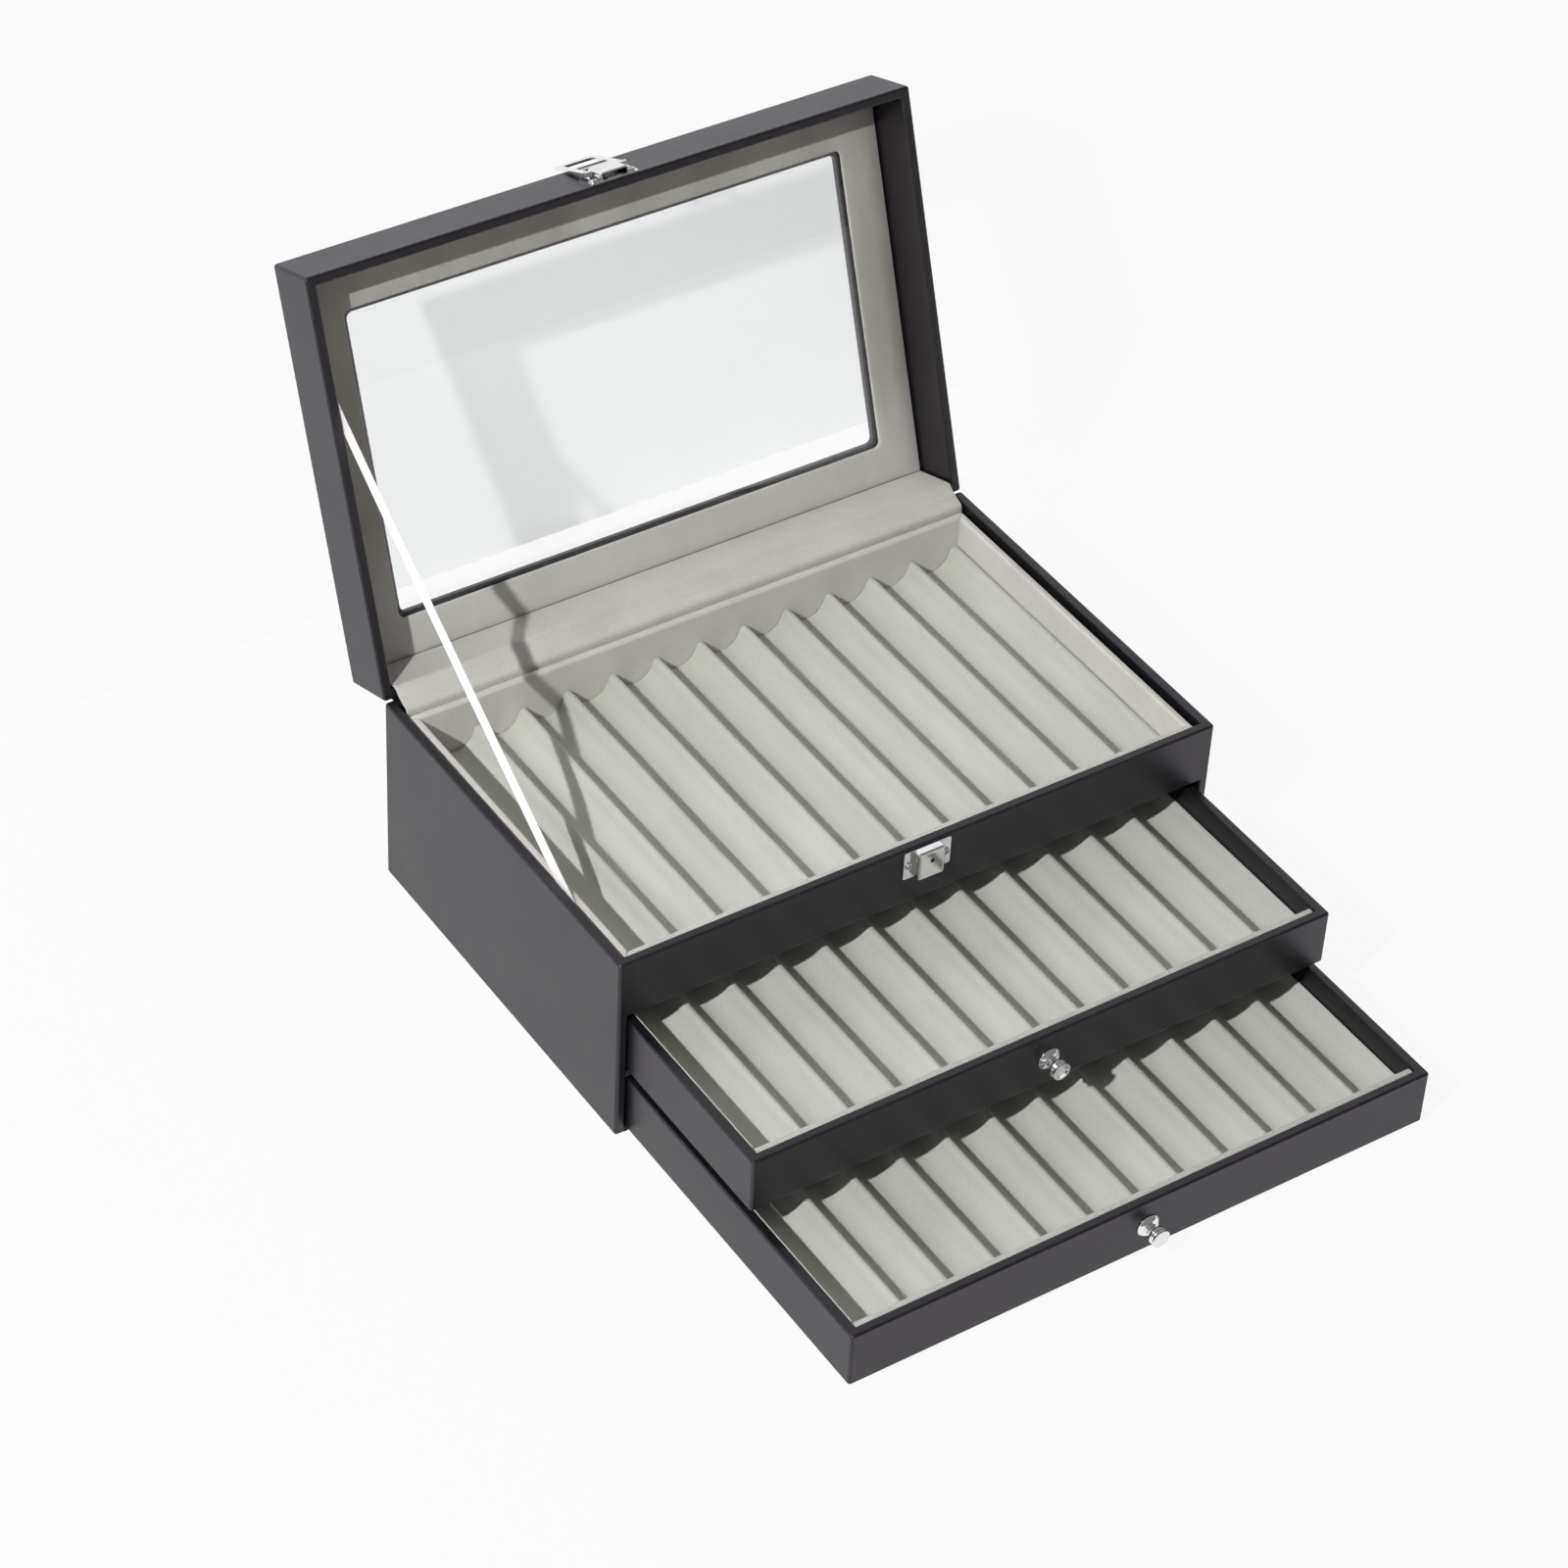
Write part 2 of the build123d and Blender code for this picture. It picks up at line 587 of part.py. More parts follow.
# the ribbon: straight and taut from the gap beside the tray to the glass side of the lid
LID_END_Y, LID_END_Z = in_lid(RIBBON_LID_S, RIBBON_LID_T)
RUN_Y = LID_END_Y - RIBBON_FOOT_Y
RUN_Z = LID_END_Z - CASE_H
RUN = hypot(RUN_Y, RUN_Z)
DIR_Y, DIR_Z = RUN_Y / RUN, RUN_Z / RUN
TUCK = RIBBON_TUCK / DIR_Z
TAIL = GLASS_AT - 0.2


def ribbon_point(along, across):
    return (
        RIBBON_FOOT_Y + DIR_Y * along - DIR_Z * across,
        CASE_H + DIR_Z * along + DIR_Y * across,
    )


with BuildPart() as ribbon_stay:
    with BuildSketch(Plane.YZ.offset(-IN_X + LINER_LEFT_GAP / 2 - RIBBON_T / 2)):
        with BuildLine():
            Polyline(
                ribbon_point(-TUCK, -RIBBON_W / 2),
                ribbon_point(RUN + RIBBON_SPARE, -RIBBON_W / 2),
                ribbon_point(RUN + RIBBON_SPARE, RIBBON_W / 2),
                ribbon_point(-TUCK, RIBBON_W / 2),
                close=True,
            )
        make_face()
    extrude(amount=RIBBON_T)
    split(bisect_by=LID.offset(TAIL), keep=Keep.BOTTOM)
save("ribbon_stay", ribbon_stay.part)


# ---------------------------------------------------------------- clasp
def hooded_plate(plane, plate_low, plate_h, hood_low, hood_h, stand_off, screw_y):
    """A stamped plate with a raised hood, open at its low end and closed at its high end."""
    with BuildPart() as stamping:
        with BuildSketch(plane):
            with Locations((0, hood_low + hood_h / 2)):
                Rectangle(HOOD_W, hood_h)
        extrude(amount=stand_off)
        up = Axis(plane.origin, plane.y_dir)
        out = Axis(plane.origin, plane.z_dir)
        fillet(stamping.edges().group_by(up)[-1].group_by(out)[-1], HOOD_R)
        fillet(stamping.edges().filter_by(up).group_by(out)[-1], HOOD_R)
        with BuildSketch(plane.offset(PLATE_T)):
            with Locations((0, hood_low + (hood_h - HOOD_T) / 2)):
                Rectangle(HOOD_W - 2 * HOOD_T, hood_h - HOOD_T)
        extrude(amount=stand_off - PLATE_T - HOOD_T, mode=Mode.SUBTRACT)
        with BuildSketch(plane):
            with Locations((0, plate_low + plate_h / 2)):
                RectangleRounded(PLATE_W, plate_h, 1.2)
        extrude(amount=PLATE_T)
        with BuildSketch(plane):
            with Locations((-SCREW_X, screw_y), (SCREW_X, screw_y)):
                Circle(SCREW_SHANK_D / 2)
        extrude(amount=PLATE_T, mode=Mode.SUBTRACT)
    return stamping.part


def plate_screws(plane, screw_y):
    """Two cross-headed screws through a plate into the board behind it."""
    with BuildPart() as pair:
        with BuildSketch(plane.offset(-SCREW_LEN)):
            with Locations((-SCREW_X, screw_y), (SCREW_X, screw_y)):
                Circle(SCREW_SHANK_D / 2)
        extrude(amount=SCREW_LEN + PLATE_T)
        with BuildSketch(plane.offset(PLATE_T)):
            with Locations((-SCREW_X, screw_y), (SCREW_X, screw_y)):
                Circle(SCREW_HEAD_D / 2)
        extrude(amount=SCREW_HEAD_H)
        out = Axis(plane.origin, plane.z_dir)
        fillet(pair.edges().group_by(out)[-1], 0.6)
        with BuildSketch(plane.offset(PLATE_T + SCREW_HEAD_H - CROSS_DEPTH)):
            with Locations((-SCREW_X, screw_y), (SCREW_X, screw_y)):
                Rectangle(SCREW_HEAD_D * 0.6, CROSS_W)
                Rectangle(CROSS_W, SCREW_HEAD_D * 0.6)
        extrude(amount=CROSS_DEPTH, mode=Mode.SUBTRACT)
    return pair.part


def screw_holes(board, plane, screw_y):
    """A board with the two screws' holes in it."""
    with BuildPart() as drilled:
        add(board)
        with BuildSketch(plane.offset(-SCREW_LEN)):
            with Locations((-SCREW_X, screw_y), (SCREW_X, screw_y)):
                Circle(SCREW_SHANK_D / 2)
        extrude(amount=SCREW_LEN, mode=Mode.SUBTRACT)
    return drilled.part


KEEPER_HIGH = CASE_H - KEEPER_TOP
KEEPER_LOW = KEEPER_HIGH - KEEPER_PLATE_H
KEEPER_SCREW_Z = KEEPER_LOW + KEEPER_PLATE_H / 2
clasp_keeper = hooded_plate(
    CASE_FRONT, KEEPER_LOW, KEEPER_PLATE_H, KEEPER_LOW + 0.5, KEEPER_PLATE_H - 0.5,
    KEEPER_Q, KEEPER_SCREW_Z,
)
with BuildPart() as keeper:
    add(clasp_keeper)
    with BuildSketch(CASE_FRONT.offset(KEEPER_Q - HOOD_T)):
        with Locations((0, KEEPER_LOW + KEEPER_PLATE_H * 0.62)):
            Circle(1.1)
    extrude(amount=HOOD_T, mode=Mode.SUBTRACT)
save("clasp_keeper", keeper.part)
save("keeper_screws", plate_screws(CASE_FRONT, KEEPER_SCREW_Z))
save("front_rail", screw_holes(front_rail, CASE_FRONT, KEEPER_SCREW_Z))

CLASP_SCREW_T = CLASP_RIM + 3.4
PIN_AXIS_POINT = (0, *in_lid(CASE_D + PIN_Q, PIN_UP))
PIN_SECTION = Plane(origin=PIN_AXIS_POINT, x_dir=(0, UP_Y, UP_Z), z_dir=(1, 0, 0))
PIN_REACH = HASP_W / 2 + 0.3

clasp_plate = hooded_plate(
    LID_FRONT, CLASP_RIM, CLASP_PLATE_H, CLASP_RIM, CLASP_HOOD_H, CLASP_Q, CLASP_SCREW_T
)
with BuildPart() as clasp_base:
    add(clasp_plate)
    with BuildSketch(PIN_SECTION.offset(-HOOD_W / 2)):
        Circle(PIN_D / 2)
    extrude(amount=HOOD_W, mode=Mode.SUBTRACT)
save("clasp_base", clasp_base.part)
save("clasp_screws", plate_screws(LID_FRONT, CLASP_SCREW_T))
lid_front_plain = cut_between(lid_ring, *lid_between, (LID_ACROSS, Keep.TOP))
save("lid_front_wall", screw_holes(lid_front_plain, LID_FRONT, CLASP_SCREW_T))

with BuildPart() as clasp_pin:
    with BuildSketch(PIN_SECTION.offset(-PIN_REACH)):
        Circle(PIN_D / 2)
    extrude(amount=2 * PIN_REACH)
save("clasp_pin", clasp_pin.part)

# a bent leaf on the plate, under the hood and clear of the pin
SPRING_PATH = (
    (PLATE_T + 0.2, 2.0),
    (PLATE_T + 0.2, 4.4),
    (PLATE_T + 0.9, 6.0),
    (PLATE_T + 2.0, 7.0),
    (PLATE_T + 2.4, 8.1),
)
with BuildPart() as clasp_spring:
    with BuildSketch(
        Plane(origin=LID_FRONT.origin, x_dir=LID_FRONT.z_dir, z_dir=(-1, 0, 0)).offset(-4.0)
    ):
        with BuildLine():
            Polyline(*band([(q, t) for q, t in SPRING_PATH], 0.4), close=True)
        make_face()
    extrude(amount=8.0)
save("clasp_spring", clasp_spring.part)

# the hasp, drawn from its pin outwards and folded back over the lid's edge
SWING = radians(HASP_SWING)
ALONG = (
    0,
    UP_Y * sin(SWING) - IN_LID_Y * cos(SWING),
    UP_Z * sin(SWING) - IN_LID_Z * cos(SWING),
)
FACE = (0, -ALONG[2], ALONG[1])
HASP = Plane(origin=PIN_AXIS_POINT, x_dir=(1, 0, 0), z_dir=FACE)
HASP_MID = HASP.offset(-HASP_T / 2)
ARM_W = (HASP_W - HASP_IN_W) / 2
with BuildPart() as clasp_hasp:
    sense = 1 if HASP.y_dir.dot(Vector(*ALONG)) > 0 else -1
    with BuildSketch(HASP_MID):
        with Locations((0, sense * HASP_LEN / 2)):
            RectangleRounded(HASP_W, HASP_LEN, 2.4)
        with Locations((0, sense * (HASP_WINDOW_END - 4) / 2)):
            RectangleRounded(
                HASP_IN_W, HASP_WINDOW_END + 4, HASP_WINDOW_R, mode=Mode.SUBTRACT
            )
        with Locations((0, 0)):
            Rectangle(HASP_W, 3.0, mode=Mode.SUBTRACT)
    extrude(amount=HASP_T)
    for side in (-1, 1):
        with BuildSketch(PIN_SECTION.offset(side * (HASP_IN_W + ARM_W) / 2 - ARM_W / 2)):
            Circle(HASP_BARREL_R)
        extrude(amount=ARM_W)
        with BuildSketch(HASP_MID):
            with Locations((side * (HASP_IN_W + ARM_W) / 2, sense * 1.25)):
                Rectangle(ARM_W, 2.5)
        extrude(amount=HASP_T)
    with BuildSketch(
        Plane(
            origin=tuple(PIN_AXIS_POINT[i] + ALONG[i] * HASP_BAR for i in range(3)),
            x_dir=(0, UP_Y, UP_Z),
            z_dir=(1, 0, 0),
        ).offset(-HASP_IN_W / 2 - 0.5)
    ):
        Circle(HASP_BAR_D / 2)
    extrude(amount=HASP_IN_W + 1.0)
    with BuildSketch(PIN_SECTION.offset(-HASP_W / 2)):
        Circle(PIN_D / 2 + PIN_CLEAR)
    extrude(amount=HASP_W, mode=Mode.SUBTRACT)
save("clasp_hasp", clasp_hasp.part)
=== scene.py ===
import json
import math

import bmesh
import bpy
from mathutils import Matrix, Vector, noise


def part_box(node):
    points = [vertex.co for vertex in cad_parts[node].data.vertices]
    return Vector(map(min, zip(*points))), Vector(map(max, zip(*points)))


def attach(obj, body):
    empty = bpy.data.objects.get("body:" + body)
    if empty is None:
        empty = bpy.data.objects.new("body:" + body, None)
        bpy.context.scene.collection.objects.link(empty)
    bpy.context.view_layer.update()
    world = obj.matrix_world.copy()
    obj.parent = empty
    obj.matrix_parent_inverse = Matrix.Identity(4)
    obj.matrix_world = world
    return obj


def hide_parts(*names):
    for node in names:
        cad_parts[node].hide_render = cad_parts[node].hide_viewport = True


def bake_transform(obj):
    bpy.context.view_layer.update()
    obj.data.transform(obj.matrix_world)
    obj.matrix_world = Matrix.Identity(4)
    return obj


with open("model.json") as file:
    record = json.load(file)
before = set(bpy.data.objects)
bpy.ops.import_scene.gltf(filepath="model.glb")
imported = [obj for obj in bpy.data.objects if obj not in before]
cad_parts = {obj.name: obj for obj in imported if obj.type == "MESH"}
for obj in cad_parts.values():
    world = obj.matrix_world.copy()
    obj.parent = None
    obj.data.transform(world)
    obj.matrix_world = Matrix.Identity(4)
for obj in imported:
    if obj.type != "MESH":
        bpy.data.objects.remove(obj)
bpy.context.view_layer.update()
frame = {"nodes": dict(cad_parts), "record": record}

# ------------------------------------------------------------------ sizes, in millimetres
MM = 0.001
HALF_D, WALL = 107.0, 5.0
DECK_TOP = 76.5
HINGE_Z = 107.3
OPEN = math.radians(108.7)
UP = (-math.cos(OPEN), math.sin(OPEN))
INTO = (math.sin(OPEN), math.cos(OPEN))


def lid_point(x, s, t):
    """Millimetres on the open lid: across, along from the hinge, into it from its rim."""
    return (x, HALF_D + UP[0] * s + INTO[0] * t, HINGE_Z + UP[1] * s + INTO[1] * t)


def m(p):
    return Vector((p[0] * MM, p[1] * MM, p[2] * MM))


# ------------------------------------------------------------------ materials
def material(name):
    mat = bpy.data.materials.new(name)
    mat.use_nodes = True
    tree = mat.node_tree
    tree.nodes.clear()
    out = tree.nodes.new("ShaderNodeOutputMaterial")
    shader = tree.nodes.new("ShaderNodeBsdfPrincipled")
    tree.links.new(shader.outputs[0], out.inputs[0])
    return mat, tree, shader


def place(tree, stretch=(1, 1, 1)):
    co = tree.nodes.new("ShaderNodeTexCoord")
    mp = tree.nodes.new("ShaderNodeMapping")
    mp.inputs["Scale"].default_value = stretch
    tree.links.new(co.outputs["Object"], mp.inputs["Vector"])
    return mp.outputs["Vector"]


def noise_of(tree, vector, scale, detail=3.0, rough=0.55):
    n = tree.nodes.new("ShaderNodeTexNoise")
    n.inputs["Scale"].default_value = scale
    n.inputs["Detail"].default_value = detail
    n.inputs["Roughness"].default_value = rough
    tree.links.new(vector, n.inputs["Vector"])
    return n.outputs["Fac"]


def cells_of(tree, vector, scale):
    n = tree.nodes.new("ShaderNodeTexVoronoi")
    n.feature = "SMOOTH_F1"
    n.inputs["Scale"].default_value = scale
    tree.links.new(vector, n.inputs["Vector"])
    return n.outputs["Distance"]


def ramp(tree, fac, low, high, at=(0.0, 1.0)):
    n = tree.nodes.new("ShaderNodeValToRGB")
    n.color_ramp.elements[0].position = at[0]
    n.color_ramp.elements[0].color = (*low, 1)
    n.color_ramp.elements[1].position = at[1]
    n.color_ramp.elements[1].color = (*high, 1)
    tree.links.new(fac, n.inputs[0])
    return n.outputs[0]


def spread(tree, fac, low, high):
    n = tree.nodes.new("ShaderNodeMapRange")
    n.inputs["To Min"].default_value = low
    n.inputs["To Max"].default_value = high
    tree.links.new(fac, n.inputs["Value"])
    return n.outputs[0]


def mixed(tree, a, b, fac):
    n = tree.nodes.new("ShaderNodeMix")
    n.data_type = "RGBA"
    if isinstance(fac, float):
        n.inputs["Factor"].default_value = fac
    else:
        tree.links.new(fac, n.inputs["Factor"])
    tree.links.new(a, n.inputs["A"])
    tree.links.new(b, n.inputs["B"])
    return n.outputs["Result"]


def total(tree, a, b, share):
    n = tree.nodes.new("ShaderNodeMath")
    n.operation = "MULTIPLY_ADD"
    n.inputs[1].default_value = share
    tree.links.new(b, n.inputs[0])
    tree.links.new(a, n.inputs[2])
    return n.outputs[0]


def bump(tree, shader, height, depth, strength=1.0):
    n = tree.nodes.new("ShaderNodeBump")
    n.inputs["Strength"].default_value = strength
    n.inputs["Distance"].default_value = depth
    tree.links.new(height, n.inputs["Height"])
    tree.links.new(n.outputs[0], shader.inputs["Normal"])


def leather(name, low, high, rough=(0.28, 0.42)):
    """Fine pebbled grain, a faint mottling and rubbed patches."""
    mat, tree, shader = material(name)
    at = place(tree)
    pebble = cells_of(tree, at, 780)
    fine = noise_of(tree, at, 1500, 4)
    broad = noise_of(tree, at, 28, 5, 0.6)
    cloud = noise_of(tree, at, 190, 3)
    tone = mixed(tree, ramp(tree, broad, low, high, (0.35, 0.68)),
                 ramp(tree, pebble, high, low, (0.1, 0.7)), 0.35)
    tree.links.new(mixed(tree, tone, ramp(tree, cloud, low, high, (0.4, 0.62)), 0.3),
                   shader.inputs["Base Color"])
    tree.links.new(spread(tree, total(tree, broad, cloud, 0.35), rough[0], rough[1]),
                   shader.inputs["Roughness"])
    shader.inputs["Specular IOR Level"].default_value = 0.58
    shader.inputs["Specular Tint"].default_value = (0.97, 0.90, 1.0, 1)
    bump(tree, shader, total(tree, pebble, fine, 0.35), 0.00007, 0.5)
    return mat


def velvet(name, low, high, nap=(1, 1, 1), sheen=0.35, painted_shade_above=None):
    """Short pile: a soft grain of fibres, brushed patches and a pale sheen at grazing angles.

    An optional last argument adds painted shade: a deeper tone above a height, given as where the
    painted shade begins, where it is full, and its two colours.
    """
    mat, tree, shader = material(name)
    at = place(tree)
    brushed = place(tree, nap)
    fibre = noise_of(tree, at, 3600, 4, 0.7)
    pile = noise_of(tree, at, 900, 3, 0.6)
    patch = noise_of(tree, brushed, 34, 5, 0.6)
    tone = mixed(tree, ramp(tree, patch, low, high, (0.33, 0.66)),
                 ramp(tree, pile, low, high, (0.36, 0.64)), 0.32)
    tone = mixed(tree, tone, ramp(tree, fibre, low, high, (0.38, 0.62)), 0.3)
    # Painted shade: above the given height the velvet's colour is blended towards a deeper tone that
    # stands in for shade.
    if painted_shade_above:
        begins, full, painted_shade_low, painted_shade_high = painted_shade_above
        split = tree.nodes.new("ShaderNodeSeparateXYZ")
        tree.links.new(at, split.inputs[0])
        height = tree.nodes.new("ShaderNodeMapRange")
        height.interpolation_type = "SMOOTHSTEP"
        height.inputs["From Min"].default_value = begins
        height.inputs["From Max"].default_value = full
        tree.links.new(split.outputs[2], height.inputs["Value"])
        painted_shade_colour = ramp(tree, patch, painted_shade_low, painted_shade_high, (0.33, 0.66))
        shade = mixed(tree, tone, painted_shade_colour, height.outputs["Result"])
        tone = mixed(tree, shade, tone, 0.08)
    tree.links.new(tone, shader.inputs["Base Color"])
    tree.links.new(spread(tree, pile, 0.86, 1.0), shader.inputs["Roughness"])
    shader.inputs["Specular IOR Level"].default_value = 0.12
    shader.inputs["Sheen Weight"].default_value = sheen
    shader.inputs["Sheen Roughness"].default_value = 0.45
    shader.inputs["Sheen Tint"].default_value = (0.96, 0.93, 0.86, 1)
    bump(tree, shader, total(tree, fibre, pile, 0.8), 0.00012, 0.5)
    return mat


def satin(name):
    """Warp-faced weave: fine threads along the ribbon and a soft broken shine."""
    mat, tree, shader = material(name)
    at = place(tree)
    threads = tree.nodes.new("ShaderNodeTexWave")
    threads.bands_direction = "DIAGONAL"
    threads.inputs["Scale"].default_value = 900
    threads.inputs["Distortion"].default_value = 1.5
    tree.links.new(at, threads.inputs["Vector"])
    slub = noise_of(tree, at, 420, 4)
    tree.links.new(ramp(tree, slub, (0.84, 0.83, 0.80), (0.95, 0.945, 0.93), (0.3, 0.7)),
                   shader.inputs["Base Color"])
    tree.links.new(spread(tree, slub, 0.42, 0.6), shader.inputs["Roughness"])
    shader.inputs["Sheen Weight"].default_value = 0.3
    bump(tree, shader, total(tree, slub, threads.outputs["Fac"], 0.6), 0.00006, 0.5)
    return mat


def metal(name, colour, rough, scratch=0.05, bumps=0.000004):
    """Polished plate with faint wipe marks."""
    mat, tree, shader = material(name)
    at = place(tree, (1, 1, 7))
    marks = noise_of(tree, at, 260, 5, 0.65)
    haze = noise_of(tree, place(tree), 90, 3)
    tree.links.new(ramp(tree, haze, tuple(c * 0.93 for c in colour), colour, (0.3, 0.7)),
                   shader.inputs["Base Color"])
    tree.links.new(spread(tree, marks, rough, rough + scratch), shader.inputs["Roughness"])
    shader.inputs["Metallic"].default_value = 1.0
    bump(tree, shader, marks, bumps, 0.4)
    return mat


def pane(name):
    """Clear glass that lets the lamps through."""
    mat, tree, shader = material(name)
    haze = noise_of(tree, place(tree), 30, 4)
    tree.links.new(ramp(tree, haze, (0.965, 0.985, 0.978), (0.99, 0.998, 0.995)),
                   shader.inputs["Base Color"])
    tree.links.new(spread(tree, haze, 0.0, 0.012), shader.inputs["Roughness"])
    shader.inputs["Transmission Weight"].default_value = 1.0
    shader.inputs["IOR"].default_value = 1.45
    clear = tree.nodes.new("ShaderNodeBsdfTransparent")
    clear.inputs[0].default_value = (0.97, 0.985, 0.98, 1)
    path = tree.nodes.new("ShaderNodeLightPath")
    mix = tree.nodes.new("ShaderNodeMixShader")
    out = [n for n in tree.nodes if n.type == "OUTPUT_MATERIAL"][0]
    tree.links.new(path.outputs["Is Shadow Ray"], mix.inputs[0])
    tree.links.new(shader.outputs[0], mix.inputs[1])
    tree.links.new(clear.outputs[0], mix.inputs[2])
    tree.links.new(mix.outputs[0], out.inputs[0])
    return mat


def paper(name):
    """Black covering paper over board: fine fibres, nearly matt."""
    mat, tree, shader = material(name)
    at = place(tree)
    fibre = noise_of(tree, at, 1400, 5, 0.7)
    broad = noise_of(tree, at, 40, 3)
    tree.links.new(ramp(tree, total(tree, broad, fibre, 0.4), (0.011, 0.011, 0.012),
                        (0.026, 0.025, 0.027), (0.35, 0.95)), shader.inputs["Base Color"])
    tree.links.new(spread(tree, fibre, 0.7, 0.92), shader.inputs["Roughness"])
    bump(tree, shader, fibre, 0.00005, 0.5)
    return mat


LEATHER = leather("black_leather", (0.0050, 0.0042, 0.0060), (0.0112, 0.0096, 0.0130))
STRAP = leather("hinge_leather", (0.004, 0.004, 0.0046), (0.009, 0.0088, 0.010), (0.38, 0.52))
VELVET = velvet("pale_velvet", (0.455, 0.462, 0.42), (0.60, 0.608, 0.566), (1, 0.22, 1))
LINER = velvet("liner_velvet", (0.53, 0.522, 0.49), (0.67, 0.66, 0.625))
# The lid's velvet carries painted shade: its colour turns deeper from 0.118 to 0.175 m height,
# standing in for shade on the upper frame.
LID_VELVET = velvet("lid_velvet", (0.50, 0.49, 0.465), (0.62, 0.608, 0.575), (1, 1, 0.3), 0.25,
                    (0.118, 0.175, (0.335, 0.318, 0.295), (0.43, 0.408, 0.378)))
CREAM = satin("cream_satin")
CHROME = metal("chromed_metal", (0.86, 0.86, 0.87), 0.05)
STEEL = metal("bright_steel", (0.66, 0.66, 0.67), 0.2, 0.15, 0.00001)
GLASS = pane("window_glass")
PAPER = paper("black_paper")
BY_SLOT = {
    "black_leather": LEATHER,
    "hinge_leather": STRAP,
    "pale_velvet": VELVET,
    "cream_ribbon": CREAM,
    "black_board": PAPER,
    "chromed_metal": CHROME,
    "bright_steel": STEEL,
    "window_glass": GLASS,
}
slot_of = {s["node"]: s["material_slot"] for s in frame["record"]["subparts"]}
for node_name, node in frame["nodes"].items():
    node.data.materials.clear()
    node.data.materials.append(BY_SLOT[slot_of[node_name]])


# ------------------------------------------------------------------ mesh helpers
def finish_mesh(name, bm, mat, body=None, node=None, angle=40):
    bmesh.ops.recalc_face_normals(bm, faces=bm.faces)
    mesh = bpy.data.meshes.new(name)
    bm.to_mesh(mesh)
    bm.free()
    mesh.materials.append(mat)
    obj = bpy.data.objects.new(name, mesh)
    bpy.context.scene.collection.objects.link(obj)
    mesh.shade_smooth()
    mesh.set_sharp_from_angle(angle=math.radians(angle))
    if body:
        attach(obj, body)
    if node:
        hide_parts(node)
    return obj


def swept(rings):
    """A closed skin through rings of points (mm), with its two ends filled."""
    bm = bmesh.new()
    loops = [[bm.verts.new(m(p)) for p in ring] for ring in rings]
    count = len(loops[0])
    for a, b in zip(loops, loops[1:]):
        for i in range(count):
            j = (i + 1) % count
            bm.faces.new((a[i], a[j], b[j], b[i]))
    bm.faces.new(loops[0][::-1])
    bm.faces.new(loops[-1])
    return bm


def stations(start, end, step, ease):
    """Places along a length, closer together near its two rounded ends."""
    near = [0.0, ease * 0.08, ease * 0.3, ease * 0.6, ease]
    count = max(2, int((end - start - 2 * ease) / step))
    middle = [start + ease + (end - start - 2 * ease) * i / count for i in range(count + 1)]
    return [start + n for n in near[:-1]] + middle + [end - n for n in reversed(near[:-1])]


def sink(distance, radius):
    """How far a rounded edge has dropped at a distance from the end."""
    if distance >= radius:
        return 0.0
    return radius - math.sqrt(max(0.0, radius * radius - (radius - distance) ** 2))


# ------------------------------------------------------------------ grooved inserts
GROOVES, DEPTH, VALLEY_R = 12, 11.0, 10.5
PER_GROOVE = 26
TRAY_RIDGE_Z = 89.0
TRAY_RIDGES = 303.64    # from the first ridge to the last
DRAWER_HALF = 156.4
DRAWER_RIDGES = 307.4
MIDDLE_PULL, BOTTOM_PULL = 104.0, 186.0
BOTTOM_Z = 2.5


def groove_height(x, peak, pitch, top):
    """Height of the grooved surface: tangent arcs, ridges narrow and valleys wide."""
    theta = 2 * math.atan(DEPTH / (pitch / 2))
    ridge_r = (pitch / 2) / math.sin(theta) - VALLEY_R
    run = ridge_r * math.sin(theta)
    u = (x - peak) % pitch
    u = min(u, pitch - u)
    if u < run:
        return top - ridge_r + math.sqrt(ridge_r * ridge_r - u * u)
    v = pitch / 2 - u
    return top - DEPTH + VALLEY_R - math.sqrt(VALLEY_R * VALLEY_R - v * v)


def insert(name, node, body, x0, x1, peak, pitch, top, bottom, y0, y1, flap=0.0, seed=0):
    """One grooved bed: ridges softened by the pile, its ends turned down a little.

    flap is the height of velvet turned up along the left side, if any.
    """
    across = []
    if flap:
        across += [
            (x0, bottom, 0), (x0, top + 6, 0), (x0, flap - 0.4, 0), (x0 + 0.15, flap - 0.1, 0),
            (x0 + 0.4, flap, 0), (x0 + 0.65, flap - 0.1, 0), (x0 + 0.8, flap - 0.4, 0),
            (x0 + 0.8, top + 6, 0), (x0 + 0.8, top + 0.6, 0), (x0 + 1.3, top, 0),
        ]
    else:
        across += [
            (x0, bottom, 0), (x0, top - 1.0, 0), (x0 + 0.3, top - 0.3, 0), (x0 + 1.0, top, 0),
        ]
    end = peak + GROOVES * pitch
    step = pitch / PER_GROOVE
    for i in range(GROOVES * PER_GROOVE + 1):
        x = peak + i * step
        if x < x1 - 0.5:
            across.append((x, groove_height(x, peak, pitch, top), 1))
    if x1 - end > 2:
        across += [(x1 - 1.0, top, 0), (x1 - 0.3, top - 0.3, 0), (x1, top - 1.0, 0)]
    else:
        across += [(x1 - 0.25, top - 0.05, 0), (x1, top - 0.5, 0)]
    across.append((x1, bottom, 0))
    rings = []
    for y in stations(y0, y1, 5.0, 1.4):
        drop = sink(min(y - y0, y1 - y), 1.4) * 0.55
        ring = []
        for x, z, soft in across:
            if z == bottom:
                ring.append((x, y, z))
                continue
            n = noise.noise(Vector((x * 0.035, y * 0.02, seed)))
            fine = noise.noise(Vector((x * 0.2, y * 0.11, seed + 7)))
            ring.append((x + soft * n * 0.12, y, z + soft * (0.16 * n + 0.05 * fine) - drop))
        rings.append(ring)
    return finish_mesh(name, swept(rings), VELVET, body, node, angle=60)


